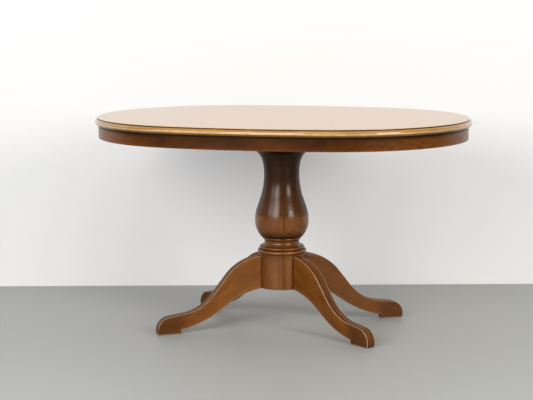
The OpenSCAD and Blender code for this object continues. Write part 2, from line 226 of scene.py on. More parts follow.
class Shade:
    """A material, with a method for each kind of node that it is made of."""

    def __init__(self, name):
        self.material = bpy.data.materials.new(name)
        self.material.use_nodes = True
        self.tree = self.material.node_tree
        self.bsdf = self.tree.nodes["Principled BSDF"]

    def put(self, node, values):
        """Links the sockets among the values, and sets the rest on the node's own sockets."""
        for key, value in values.items():
            if isinstance(value, bpy.types.NodeSocket):
                self.tree.links.new(value, node.inputs[key])
            else:
                node.inputs[key].default_value = value

    def node(self, kind, values, **props):
        node = self.tree.nodes.new(kind)
        for key, value in props.items():
            setattr(node, key, value)
        self.put(node, values)
        return node.outputs

    def calc(self, op, a, b=0.0, clamp=False):
        return self.node("ShaderNodeMath", {0: a, 1: b}, operation=op, use_clamp=clamp)[0]

    def times(self, a, b):
        return self.calc("MULTIPLY", a, b)

    def plus(self, a, b, clamp=False):
        return self.calc("ADD", a, b, clamp)

    def remap(self, value, lo, hi, out_lo=0.0, out_hi=1.0, kind="LINEAR"):
        limits = {"From Min": lo, "From Max": hi, "To Min": out_lo, "To Max": out_hi}
        return self.node("ShaderNodeMapRange", {"Value": value, **limits}, interpolation_type=kind)[0]

    def blend(self, factor, a, b):
        a, b = (v if isinstance(v, bpy.types.NodeSocket) else (*v, 1.0) for v in (a, b))
        return self.node("ShaderNodeMix", {0: factor, 6: a, 7: b}, data_type="RGBA")[2]

    def noise(self, vector, scale, detail=3.0, rough=0.5, distortion=0.0):
        look = {"Scale": scale, "Detail": detail, "Roughness": rough, "Distortion": distortion}
        return self.node("ShaderNodeTexNoise", {"Vector": vector, **look})[0]

    def stretched(self, vector, scale):
        return self.node("ShaderNodeMapping", {"Vector": vector, "Scale": scale})[0]

    def stored(self, name, output):
        """A value stored on the points of the mesh."""
        return self.node("ShaderNodeAttribute", {}, attribute_name=name)[output]

    def relief(self, height, strength, distance):
        return self.node("ShaderNodeBump", {"Height": height, "Strength": strength, "Distance": distance})[0]


def wood(name, pale, deep, dark, ring=4.0, ring_depth=0.35, pith=(70.0, 25.0), fibres=0.55, fleck=0.5,
         mottle=0.5, rough=0.36, smears=1.0, coat=0.5, coat_rough=0.16, coat_ior=1.42, tone_dark=0.85,
         even=0.7, tone_pale=0.3, wear_and_highlight=None, bump=0.25):
    """Stained timber under a satin lacquer. pale and deep are the two ends of the stain's colour. ring is the
    spacing of the growth rings in millimetres, and pith is where their centre lies across the grain.
    ring_depth, fibres, fleck and mottle are how strongly rings, fibres, flecks and stain clouds show, and
    smears is how uneven the gloss is. dark is the colour of the flecks and of the painted shade in corners,
    grooves and under overhangs, tone_dark how strongly the shade shows and even how evenly it lies. worn,
    or a paler pale, is the colour of the pale lines, partly rubbed edges and partly painted highlights, as
    strong as tone_pale."""
    s = Shade(name)
    grain, tone = s.stored("grain", "Vector"), s.stored("tone", "Fac")

    def grained(along, across, detail=3.0, roughness=0.5, distortion=0.0):
        return s.noise(s.stretched(grain, (along, across, across)), 1.0, detail, roughness, distortion)

    split = s.node("ShaderNodeSeparateXYZ", {0: grain})
    sway = s.times(s.plus(grained(2.2, 14.0, 2.0), -0.5), 0.034)
    across = s.plus(s.plus(split[1], pith[0] * MM), sway)
    through = s.plus(split[2], pith[1] * MM)
    radius = s.calc("SQRT", s.plus(s.calc("POWER", across, 2.0), s.calc("POWER", through, 2.0)))
    radius = s.plus(radius, s.times(grained(9.0, 60.0, 2.0), 0.0016))
    phase = s.calc("FRACT", s.times(radius, 1.0 / (ring * MM)))
    late = s.times(s.remap(phase, 0.25, 0.96, kind="SMOOTHSTEP"), s.remap(phase, 0.96, 1.0, 1.0, 0.0))
    rings = s.times(late, s.remap(grained(3.0, 40.0), 0.3, 0.75))
    fibre = grained(22.0, 900.0, 4.0, 0.65)
    flecks = s.remap(grained(210.0, 1500.0, 2.0, 0.6), 0.60, 0.70, kind="SMOOTHSTEP")
    blotch = grained(13.0, 30.0, 4.0, 0.6, 0.6)
    cloud = grained(4.0, 9.0, 2.0)
    mix = s.times(rings, ring_depth)
    for pattern, middle, weight in ((fibre, 0.42, fibres), (blotch, 0.5, mottle * 1.6), (cloud, 0.5, mottle)):
        mix = s.plus(mix, s.times(s.plus(pattern, -middle), weight))
    colour = s.blend(s.plus(mix, 0.42, clamp=True), pale, deep)
    colour = s.blend(s.times(flecks, fleck), colour, dark)

    patchy_tone = grained(60.0, 160.0, 3.0, 0.6)
    # below 0 the tone paints shade in the dark colour; above 0 it paints a pale line, partly wear and partly
    # a painted highlight
    low = s.times(s.remap(tone, 0.0, -1.0), s.remap(patchy_tone, 0.2, 0.6, even, 1.0))
    high = s.times(s.remap(tone, 0.0, 1.0), s.remap(patchy_tone, 0.3, 0.6, 0.3, 1.0))
    colour = s.blend(s.times(low, tone_dark), colour, dark)
    colour = s.blend(s.times(high, tone_pale), colour, wear_and_highlight or scaled(pale, 1.8, 0.03))
    smear = s.remap(grained(18.0, 45.0, 5.0, 0.65), 0.3, 0.7, rough - 0.06 * smears, rough + 0.08 * smears)
    dull = s.plus(s.plus(smear, s.times(flecks, 0.12)), s.times(low, 0.18), clamp=True)
    ripple = grained(45.0, 90.0, 2.0)
    height = s.plus(s.times(flecks, -0.5), s.plus(s.times(fibre, 0.35), s.times(ripple, 1.2)))
    s.put(s.bsdf, {"Base Color": colour, "Roughness": dull, "IOR": 1.5, "Specular IOR Level": 0.15,
                   "Specular Tint": (1.0, 0.72, 0.45, 1.0), "Normal": s.relief(height, bump, 0.0004),
                   "Coat Normal": s.relief(ripple, bump * 0.5, 0.0005), "Coat Roughness": coat_rough,
                   "Coat IOR": coat_ior})
    # the coat thins where the tone paints shade, which dims its reflections there too
    if coat:
        s.put(s.bsdf, {"Coat Weight": s.times(s.remap(low, 0.0, 1.0, 1.0, 0.35), coat)})
    return s.material


def metal(name, colour, rough):
    """Plated steel, with dull patches, fine scratches and a little tarnish."""
    s = Shade(name)
    place = s.stored("grain", "Vector")
    patch = s.noise(place, 160.0, 5.0, 0.65)
    lines = s.noise(s.stretched(place, (40.0, 400.0, 1200.0)), 1.0, 3.0, 0.6)
    tarnish = s.remap(patch, 0.58, 0.76, kind="SMOOTHSTEP")
    base = s.blend(s.times(tarnish, 0.6), s.blend(patch, scaled(colour, 0.8), colour), (0.16, 0.10, 0.06))
    dull = s.plus(s.remap(lines, 0.3, 0.7, rough - 0.08, rough + 0.12), s.times(tarnish, 0.25), clamp=True)
    s.put(s.bsdf, {"Base Color": base, "Roughness": dull, "Metallic": 1.0,
                   "Normal": s.relief(lines, 0.15, 0.0001)})
    return s.material


def felt_cloth(name, colour):
    """Pressed wool felt: matted short fibres, and a soft sheen."""
    s = Shade(name)
    place = s.stored("grain", "Vector")
    mat = s.noise(place, 900.0, 6.0, 0.75, 1.2)
    pill = s.noise(place, 160.0, 3.0, 0.6)
    base = s.blend(mat, scaled(colour, 0.55), scaled(colour, 1.7))
    base = s.blend(s.remap(pill, 0.5, 0.8), base, scaled(colour, 0.6))
    s.put(s.bsdf, {"Base Color": base, "Roughness": s.remap(mat, 0.2, 0.8, 0.85, 1.0), "Sheen Weight": 0.35,
                   "Sheen Roughness": 0.5, "Normal": s.relief(s.plus(mat, pill), 0.7, 0.0006)})
    return s.material


def chipboard(name, pale, deep):
    """Raw particle board: pressed flakes of several sizes."""
    s = Shade(name)
    place = s.node("ShaderNodeTexCoord", {})["Object"]
    cells = s.node("ShaderNodeTexVoronoi", {"Vector": place, "Scale": 420.0, "Randomness": 1.0})["Color"]
    flake = s.node("ShaderNodeSeparateColor", {0: cells})[0]
    dust = s.noise(place, 1400.0, 4.0, 0.7)
    base = s.blend(s.remap(dust, 0.3, 0.7, 0.0, 0.35), s.blend(flake, pale, deep), scaled(deep, 0.7))
    s.put(s.bsdf, {"Base Color": base, "Roughness": s.remap(dust, 0.3, 0.7, 0.75, 0.95),
                   "Normal": s.relief(s.plus(flake, dust), 0.4, 0.0004)})
    return s.material


def plain_plane(name, colour, rough, variation):
    """The look of a stage surface, with faint clouds in its colour."""
    s = Shade(name)
    cloud = s.noise(s.node("ShaderNodeTexCoord", {})["Object"], 1.3, 4.0, 0.6)
    s.put(s.bsdf, {"Base Color": s.blend(cloud, scaled(colour, 1 - variation), scaled(colour, 1 + variation)),
                   "Roughness": s.remap(cloud, 0.2, 0.8, rough - 0.04, rough + 0.04)})
    return s


veneer_wood = wood(
    "veneer_wood", (0.50, 0.262, 0.080), (0.39, 0.192, 0.053), (0.12, 0.05, 0.02), ring=11.0,
    ring_depth=0.6, pith=(30.0, 130.0), fleck=0.0, mottle=0.10, rough=0.26, coat=0.66,
    coat_rough=0.05, coat_ior=1.5, bump=0.001, fibres=0.1, smears=0.15)
edging_wood = wood(
    "edging_wood", (0.42, 0.205, 0.024), (0.165, 0.070, 0.007), (0.008, 0.003, 0.001), ring=3.4,
    pith=(60.0, 10.0), mottle=0.7, rough=0.3, coat=1.0, coat_rough=0.05, coat_ior=1.5,
    tone_dark=0.98, tone_pale=0.6, bump=0.03, wear_and_highlight=(0.60, 0.48, 0.34), even=0.85)
# dark colour of the flecks, and of the painted shade in corners
corner_dark = (0.004, 0.0012, 0.0005)
apron_wood = wood(
    "apron_wood", (0.060, 0.0155, 0.002), (0.017, 0.0036, 0.0005), corner_dark, ring=3.0,
    ring_depth=0.9, pith=(45.0, 18.0), mottle=0.9, coat=0.25, coat_rough=0.15, tone_pale=0.9,
    bump=0.08, wear_and_highlight=(0.24, 0.070, 0.008), even=0.85, fibres=1.0)
column_wood = wood(
    "column_wood", (0.185, 0.060, 0.0055), (0.050, 0.0135, 0.001), corner_dark, ring=7.5,
    ring_depth=0.45, pith=(64.0, 12.0), rough=0.45, coat=0.6, coat_rough=0.2, coat_ior=1.5,
    tone_dark=0.97, tone_pale=0.45, bump=0.05, even=0.85, fibres=0.9)
leg_wood = wood(
    "leg_wood", (0.205, 0.067, 0.0053), (0.060, 0.0155, 0.001), (0.003, 0.001, 0.0005), ring=4.6,
    ring_depth=0.5, pith=(30.0, 42.0), rough=0.45, coat=0.4, coat_rough=0.15, tone_dark=0.97,
    tone_pale=0.6, bump=0.12, wear_and_highlight=(0.50, 0.34, 0.21), even=0.85, fibres=0.95)
beech = wood(
    "beech", (0.60, 0.42, 0.25), (0.45, 0.29, 0.16), (0.24, 0.13, 0.06), ring=3.6, pith=(55.0, 24.0),
    mottle=0.3, rough=0.62, coat=0.0, fleck=0.45, tone_dark=0.5, bump=0.3)
backing_wood = wood(
    "backing_wood", (0.56, 0.40, 0.25), (0.44, 0.29, 0.17), (0.26, 0.15, 0.08), ring=9.0,
    ring_depth=0.4, pith=(60.0, 120.0), mottle=0.25, rough=0.66, coat=0.0, bump=0.3)
steel = metal("zinc_steel", (0.62, 0.61, 0.57), 0.34)
felt = felt_cloth("brown_felt", (0.11, 0.085, 0.065))
board = chipboard("particle_board", (0.56, 0.43, 0.28), (0.36, 0.25, 0.14))


# -------------------- top

joint_gap = 0.05    # left at each end of a length of the rim
rim_step = 8.0      # between two sections along the rim


# centre, radius of the field edge and angles of each length of the rim
rim_paths = {
    "front": ((0.0, side_c), side_r, 180 + join_a, 360 - join_a),
    "rear": ((0.0, -side_c), side_r, join_a, 180 - join_a),
    "right_front": ((end_c, 0.0), end_r, -join_a, 0.0),
    "right_rear": ((end_c, 0.0), end_r, 0.0, join_a),
    "left_rear": ((-end_c, 0.0), end_r, 180 - join_a, 180.0),
    "left_front": ((-end_c, 0.0), end_r, 180.0, 180 + join_a),
    "right": ((end_c, 0.0), end_r, -join_a, join_a),
    "left": ((-end_c, 0.0), end_r, 180 - join_a, 180 + join_a),
}


def rim(name, kind, section, offset, lift=0.0):
    """A section of (out from the field edge, height, tone), swept along one length of the rim. lift is how
    much paler it is painted towards the middle of the length, as light falling there."""
    centre, radius, start, stop = rim_paths[kind]
    trim = math.degrees(joint_gap / radius)
    steps = int(math.ceil(rad(stop - start) * radius / rim_step))
    angles = np.radians(np.linspace(start + trim, stop - trim, steps + 1))
    verts, grain, tone = [], [], []
    for a in angles:
        paler = lift * math.sin(math.pi * (a - angles[0]) / (angles[-1] - angles[0]))
        for out, z, t in section:
            r = radius + out
            verts.append((centre[0] + r * math.cos(a), centre[1] + r * math.sin(a), z))
            grain.append((radius * (a - angles[0]) + offset, z - nose_low, out))
            tone.append(t + paler if t > -0.7 else t)
    return build(name, verts, capped(len(angles), len(section)), grain, tone)


ease = 1.2
nose_r = (top_z - nose_low - 4.0) / 2
nose_c = (nose_out - nose_r, nose_low + nose_r)
step_angle = math.degrees(math.acos(-nose_c[0] / nose_r))
# tone of the bullnose above each angle, in degrees over its widest line: painted shade by the step, on the
# lower half and underneath, and a painted highlight line along the widest line
nose_tones = ((72, -1.0), (62, -0.6), (22, 0.1), (6, 0.0), (-12, 1.0), (-50, -0.45), (-64, -0.65),
              (-180, -1.0))
foot = nose_c[1] + nose_r * sin_d(step_angle)
# the eased field edge is a pale line, partly wear and partly a painted highlight, and the step face below it
# and the underside of the bullnose are dark with painted shade
section = [(-edging_width + 0.05, top_z - 0.1, -0.3), (-edging_width + 0.1, top_z, 0.0), (-6.0, top_z, 0.0),
           (-3.0, top_z, 0.1)]
section += [(x, z, 0.9) for x, z in arc((-ease, top_z - ease), ease, 90, 0, 8)]
section += [(0.0, foot + 2.4, -0.8), (0.0, foot + 1.6, -1.0), (0.0, foot + 0.5, -1.0)]
for x, z in arc(nose_c, nose_r, step_angle, -86, 40):
    turn = math.degrees(math.atan2(z - nose_c[1], x - nose_c[0]))
    section.append((x, z, next(t for above, t in nose_tones if turn > above)))
section += [(-3.2, nose_low, -1.0), (-4.5, nose_low, -1.0), (-8.0, nose_low, -0.3),
            (-edging_width, nose_low, 0.0), (-edging_width, top_z - 0.15, -0.3)]
for i, kind in enumerate(("front", "rear", "right_front", "right_rear", "left_rear", "left_front")):
    piece = rim(f"rim_{kind}", kind, section, 1000.0 * i)
    finish_piece(piece, edging_wood, f"edging_{kind}")
    piece.data.materials.append(veneer_wood)
    for face in piece.data.polygons:
        if face.normal.z > 0.999 and face.center.z > (top_z - 0.1) * MM:
            face.material_index = 1

ease_low = 2.5
# painted shadow of the bullnose: darkest at the top of the apron and fading down; the top of its inside is
# darker too
section = [(-3.0, nose_low, -1.0), (-3.0, nose_low - 3.5, -1.0), (-3.0, nose_low - 5.5, -0.6),
           (-3.0, nose_low - 9.0, -0.15), (-3.0, nose_low - 14.0, 0.0), (-3.0, apron_z + 10.0, 0.05),
           (-3.0, apron_z + 4.5, 0.2)]
section += [(x, z, 0.35) for x, z in arc((-3.0 - ease_low, apron_z + ease_low), ease_low, 0, -90, 10)]
section += [(-8.0, apron_z, 0.0), (-apron_in + 1.0, apron_z, 0.0), (-apron_in, apron_z + 1.0, 0.2),
            (-apron_in, apron_z + 6.0, 0.0), (-apron_in, nose_low, -0.4)]
section = spaced(section, 6.0)
# the two end lengths of the apron are painted paler towards their middles, as light falling on the ends
for i, (kind, lift) in enumerate((("front", 0.0), ("rear", 0.0), ("right", 0.55), ("left", 0.95))):
    finish_piece(rim(f"skirt_{kind}", kind, section, 7000.0 + 1700.0 * i, lift), apron_wood,
                 f"apron_{kind}")


def oval(inset):
    """Outline of the oval, set in from the field edge. It has as many points whatever the distance."""
    out = []
    for kind in ("right", "rear", "left", "front"):
        centre, radius, start, stop = rim_paths[kind]
        out += arc(centre, radius - inset, start, stop, int(rad(stop - start) * radius / rim_step))[:-1]
    return out


def panel(name, rows, offset, material, node):
    """A thin panel inside the edging, from rows of (distance set in, height, tone)."""
    solid = Solid()
    rings = [solid.ring(oval(edging_width + 0.1 + inset), z, t) for inset, z, t in rows]
    grain = [(x + offset, y, z) for x, y, z in solid.verts]
    piece = build(name, solid.verts, capped(len(rows), len(rings[0])), grain, solid.tone)
    finish_piece(piece, material, node)


panel("field_veneer", [(0.0, veneer_z, -0.5), (0.0, top_z - 0.05, -0.5), (0.015, top_z - 0.015, -0.5),
                       (0.05, top_z, -0.5), (2.05, top_z, 0.0)], 3000.0, veneer_wood, "top_veneer")


# -------------------- column

waist_r, waist_z = 59.7, 525.2
neck_r, neck_a, flare_r, flare_a = 186.3, 13.0, 65.9, 70.0
shoulder_r, shoulder_a, cone = 253.0, 18.7, 34.6
bulb_r, bulb_a, base_r, bulb_foot = 139.4, 0.7, 80.1, 311.5
block_top = 255.0
seam_angle = -70.0
pocket_r, pocket_flat = 50.0, 44.0    # the hollow in the block, and its flats for the washers
leg_turns = (leg_angle, 180 - leg_angle, 180 + leg_angle, 360 - leg_angle)


def turned(x, y, a):
    return x * cos_d(a) - y * sin_d(a), x * sin_d(a) + y * cos_d(a)


def column_profile():
    """Outside of the turning, from the foot of the block to the tenon, as (radius, height, tone)."""
    up = (waist_r + neck_r * (1 - cos_d(neck_a)), waist_z + neck_r * sin_d(neck_a))
    flare_c = (up[0] + flare_r * cos_d(neck_a), up[1] - flare_r * sin_d(neck_a))
    flare_end = (flare_c[0] - flare_r * cos_d(flare_a), flare_c[1] + flare_r * sin_d(flare_a))
    down = (waist_r + shoulder_r * (1 - cos_d(shoulder_a)), waist_z - shoulder_r * sin_d(shoulder_a))
    cone_end = (down[0] + cone * sin_d(shoulder_a), down[1] - cone * cos_d(shoulder_a))
    bulb_c = (cone_end[0] - bulb_r * cos_d(shoulder_a), cone_end[1] - bulb_r * sin_d(shoulder_a))
    bulb_low = (bulb_c[0] + bulb_r * cos_d(bulb_a), bulb_c[1] - bulb_r * sin_d(bulb_a))
    base_c = (bulb_low[0] - base_r * cos_d(bulb_a), bulb_low[1] + base_r * sin_d(bulb_a))
    foot_a = math.degrees(math.asin((base_c[1] - bulb_foot) / base_r))
    # the tone paints shade in the corners and grooves between the mouldings, where it drops to -1
    rows = [(block_r - 1.0, block_z, 0.3), (block_r, block_z + 1.0, 0.4), (block_r, block_z + 4.0, 0.25),
            (block_r, block_top - 22.0, 0.25), (block_r, block_top - 2.4, -0.2),
            (block_r, block_top - 1.6, 0.3), (block_r - 0.5, block_top - 0.8, 0.2),
            (block_r - 1.4, block_top, -0.8)]

    def turn(centre, radius, first, last, steps, tone_of):
        points = arc(centre, radius, first, last, steps)
        rows.extend((x, z, tone_of(i / steps)) for i, (x, z) in enumerate(points))

    turn((75.5, 262.7), 7.7, -66, 78, 22,
         lambda t: -1.0 if t < 0.07 or t > 0.95 else 0.3 if 0.3 < t < 0.7 else 0.0)
    rows += [(73.6, 270.6, -1.0), (73.3, 271.3, -1.0)]
    turn((73.3, 275.0), 3.9, -66, 90, 14, lambda t: -0.9 if t < 0.12 else 0.4 if t < 0.7 else 0.0)
    rows.append((72.2, 280.2, -0.9))
    turn((72.5, 295.0), 13.5, 268, 146, 22, lambda t: -0.8 if t < 0.08 or t > 0.93 else 0.0)
    turn((61.5, 307.3), 4.2, -70, 72, 14, lambda t: -0.9 if t < 0.08 or t > 0.92 else 0.35)
    # the bulb is pale on its lower half and darker upwards, and the shoulder, neck and flare darker still:
    # painted shade under the top; the foot of the bulb is dark with painted shade in its corner
    turn(base_c, base_r, -foot_a, -bulb_a, 22, lambda t: min(0.25, -1.0 + 2.2 * t))
    turn(bulb_c, bulb_r, 0, shoulder_a, 14, lambda t: 0.25 - 0.75 * min(1.0, max(0.0, (t - 0.3) / 0.3)))
    turn((waist_r + shoulder_r, waist_z), shoulder_r, 180 + shoulder_a, 180.5, 26, lambda t: -0.55 - 0.25 * t)
    turn((waist_r + neck_r, waist_z), neck_r, 180, 180.5 - neck_a, 14, lambda t: -0.8 - 0.05 * t)
    turn(flare_c, flare_r, 180 - neck_a, 180 - flare_a, 20, lambda t: -0.8 - 0.2 * t)
    rows += [(flare_end[0] + 0.2, flare_end[1] + 0.8, -1.0), (flare_end[0] + 3.0, flare_end[1] + 0.9, 0.3),
             (flare_end[0] + 3.0, board_z, 0.0), (27.0, board_z, 0.0), (27.0, apron_z - 0.8, 0.0),
             (26.2, apron_z, 0.0)]
    return rows


def column_half(name, side, node):
    """Half of the turning, with the pocket and the rod's bore inside it."""
    outer = column_profile()
    inner = [(6.5, apron_z, 0.0), (6.5, 214.0, 0.0), (pocket_r, 214.0, 0.0), (pocket_r, 142.0, 0.0),
             (62.0, 142.0, -0.4), (62.0, block_z, -0.4)]
    rows = outer + inner
    start = seam_angle + (180.0 if side < 0 else 0.0) + 0.02
    flat = math.degrees(math.acos(leg_in / block_r))
    hollow = math.degrees(math.acos(pocket_flat / pocket_r))
    edges = [(a + d - start) % 360.0 for a in leg_turns for d in (-flat, flat, -hollow, hollow, 0.0)]
    edges = [e for e in edges if 0.5 < e < 179.5]
    sweep = sorted(set([round(x, 4) for x in list(np.linspace(0, 179.96, 81)) + edges]))
    kept = [sweep[0]]
    for x in sweep[1:]:
        if x - kept[-1] > 0.25 or x in edges or x == sweep[-1]:
            kept.append(x)
    verts, tone = [], []
    for turn in kept:
        a = start + turn
        near = min(abs((a - b + 180.0) % 360.0 - 180.0) for b in leg_turns)
        for i, (r, z, t) in enumerate(rows):
            if i < 4:    # the block, flat where a leg meets it
                if near < flat + 1e-6:
                    r = min(r, leg_in / cos_d(near))
                t = -1.0 if abs(near - flat) < 1.2 else t
            if i >= len(outer) and r == pocket_r and near < hollow + 1e-6:
                r = pocket_flat / cos_d(near)
            if turn < 0.4 or turn > 179.5:    # the glue line
                t = min(t, -0.45)
            verts.append((r * cos_d(a), r * sin_d(a), z))
            tone.append(t)
    spin, shift = (11.0, 0.0) if side > 0 else (-23.0, 2400.0)
    grain = [(z + shift, *turned(x, y, spin)) for x, y, z in verts]
    piece = build(name, verts, capped(len(kept), len(rows)), grain, tone, sharp=28.0)
    finish_piece(piece, column_wood, node)


column_half("turning_left", -1, "column_left_half")
column_half("turning_right", 1, "column_right_half")


# -------------------- legs

leg_w = 35.5
toe_r = 42.0


def normal(fall):
    return np.array((sin_d(fall), cos_d(fall)))


class Edge:
    """An edge of a leg, running outwards in tangent arcs and straights. fall is how steeply it goes down, in
    degrees, and up is 1 for the upper edge and -1 for the lower one."""

    def __init__(self, x, z, fall, up):
        self.end, self.fall, self.up, self.parts, self.ends = np.array((x, z)), fall, up, [], []

    def add(self, length, at):
        self.parts.append((length, at))
        self.ends.append(sum(l for l, _ in self.parts))
        self.end = at(1.0)[0]
        return self

    def straight(self, length):
        start, n = self.end, normal(self.fall)
        return self.add(length, lambda t: (start + np.array((n[1], -n[0])) * length * t, n * self.up))

    def arc(self, radius, fall):
        """An arc to a new fall. A negative radius makes it a hollow."""
        first, self.fall = self.fall, fall
        centre = self.end - radius * normal(first)

        def at(t):
            n = normal(first + (fall - first) * t)
            return centre + radius * n, n * self.up
        return self.add(abs(radius) * rad(abs(fall - first)), at)

    def at(self, s):
        """Point and outward direction at a distance along the edge."""
        s = min(max(s, 0.0), self.ends[-1])
        for length, at in self.parts:
            if s <= length:
                return at(s / length)
            s -= length
        return self.parts[-1][1](1.0)


leg_top = 246.5
upper = Edge(leg_in, leg_top, 3.9, 1).arc(167.9, 51.7).straight(75.9).arc(-162.6, 7.9).straight(53.0)
toe_c = upper.end - toe_r * normal(upper.fall)
upper.arc(toe_r, 90.0 - math.degrees(math.asin((felt_z + 0.5 - toe_c[1]) / toe_r)))
lower = Edge(leg_in, block_z, 6.4, -1).arc(247.0, 33.9).straight(59.4).arc(-307.6, 9.1)
heel = lower.end


def leg_section():
    """Right half of the moulded upper edge, from the middle out: (height over the edge line, out, tone)."""
    half = leg_w / 2 - 0.4
    bead = 3.2
    band = half - 2 * bead - 1.3
    rows = []
    # the band is darker, the quirk beside the bead dark with painted shade, and the bead's crest pale, partly
    # wear and partly a painted highlight
    for y in (0.0, 2.5, 5.0, 7.0, 8.4, band - 0.25):
        rows.append((-35.8 + math.sqrt(1600 - y * y), y, -0.5 if y > 8 else -0.35))
    rows += [(2.75, band, -0.6), (1.2, band + 0.12, -1.0), (0.35, band + 0.3, -1.0), (0.2, band + 0.65, -1.0),
             (0.35, band + 1.0, -1.0)]
    for a in np.linspace(172, -14, 15):
        rows.append((0.4 + bead * sin_d(a), half - bead + bead * cos_d(a),
                     0.7 if 35 < a < 105 else -0.1 if a < 150 else -0.9))
    rows += [(-0.9, leg_w / 2 - 0.28, -0.3), (-1.25, leg_w / 2 - 0.02, -0.2), (-2.6, leg_w / 2, 0.1),
             (-5.0, leg_w / 2, 0.0)]
    return rows


def leg_stations():
    """Pairs of a point on the upper edge and one on the lower, each with its outward direction."""
    pairs = []
    above, below = [0.0] + upper.ends[:3], (0.0, 118.5, 177.9, lower.ends[-1])
    for i, n in enumerate((22, 9, 20)):
        pairs += [(above[i] + (above[i + 1] - above[i]) * t, below[i] + (below[i + 1] - below[i]) * t)
                  for t in np.linspace(0, 1, n + 1)[:-1]]
    stations = [(upper.at(u), lower.at(l)) for u, l in pairs]
    # the heel drops from the hollow to the pad, and the pad then runs out under the toe
    pad_in, pad_out = 364.6, toe_c[0] + toe_r * 0.955
    under = [(heel, (0.0, -1.0)), ((heel[0] + 1.0, heel[1] - 0.4), (-0.7, -0.7)),
             ((362.8, heel[1] - 1.6), (-1.0, 0.0)), ((pad_in - 0.3, felt_z + 1.0), (-1.0, -0.1)),
             ((pad_in + 0.6, felt_z), (-0.4, -0.9))]
    at_heel = upper.ends[2] + 12.0
    over = list(np.linspace(upper.ends[2], at_heel, len(under)))
    for t in np.linspace(0, 1, 30)[1:]:
        over.append(at_heel + (upper.ends[-1] - at_heel) * t)
        under.append(((pad_in + 0.6 + (pad_out - pad_in - 0.6) * t, felt_z), (0.0, -1.0)))
    return stations + [(upper.at(u), (np.array(p), np.array(d))) for u, (p, d) in zip(over, under)]


def leg(name, angle, node, shift):
    stations, half = leg_stations(), leg_section()
    side, arris = leg_w / 2, 1.4
    verts, tone = [], []
    for k, ((up, nu), (lo, nl)) in enumerate(stations):
        ring = [(up + nu * h, y, t) for h, y, t in half]
        first, last = ring[-1][0], lo - nl * 2.2
        ring += [(first + (last - first) * f, side, 0.0) for f in (0.12, 0.3, 0.5, 0.7, 0.88)]
        ring.append((lo - nl * 2.0, side, 0.2))
        ring += [(lo - nl * arris * (1 - sin_d(a)), side - arris * (1 - cos_d(a)), 0.6 if a < 80 else 0.3)
                 for a in (15, 40, 65, 90)]
        ring.append((lo, side / 2, 0.0))
        full = ring + [(lo, 0.0, 0.0)] + [(p, -y, t) for p, y, t in reversed(ring[1:])]
        for p, y, t in full:
            s, z = float(p[0]) if k else leg_in, float(p[1])
            s, z = max(s, leg_in), max(z, felt_z)
            if -0.3 < t < 0.5:    # darker towards the toe
                t -= 0.45 * min(1.0, max(0.0, (s - 330.0) / 50.0))
            if s < leg_in + 1.0:    # and in the joint with the block
                t = min(t, -0.8)
            verts.append((s, y, z))
            tone.append(t)
    fall = 31.0    # the fibres run down along the leg
    grain = [np.array((*turned(s, z, fall), y)) + (shift, 0.0, shift * 0.01) for s, y, z in verts]
    verts = [(*turned(s, y, angle), z) for s, y, z in verts]
    piece = build(name, verts, capped(len(stations), len(full)), grain, tone, sharp=40.0, weld=0.02)
    finish_piece(piece, leg_wood, node)


LEGS = {"front_left": 180 + leg_angle, "front_right": -leg_angle, "rear_right": leg_angle,
        "rear_left": 180 - leg_angle}
for i, (where, angle) in enumerate(LEGS.items()):
    leg(f"shaped_leg_{where}", angle, f"leg_{where}", 1130.0 * (i + 1))


# -------------------- parts under the top and inside

def corners(poly):
    """Each corner of a polygon, with the directions of the sides before and after it."""
    for i in range(len(poly)):
        p, q, r = (np.array(poly[(i + k) % len(poly)], float) for k in (-1, 0, 1))
        yield q, (q - p) / np.linalg.norm(q - p), (r - q) / np.linalg.norm(r - q)


def shrink(poly, d):
    """A polygon with every side moved in by d."""
    out = []
    for q, u, v in corners(poly):
        a, b = np.array((-u[1], u[0])), np.array((-v[1], v[0]))
        out.append(tuple(q + (a + b) * d / (1 + float(a @ b))))
    return out


def filleted(poly, radius, steps=3):
    """A polygon with its real corners rounded. Vertices of a curve are left alone."""
    out = []
    for q, u, v in corners(poly):
        if float(u @ v) > 0.95:
            out.append(tuple(q))
        else:
            ts = np.linspace(0, 1, steps + 1)
            out += [tuple(q - u * radius * (1 - t) ** 2 + v * radius * t ** 2) for t in ts]
    return out


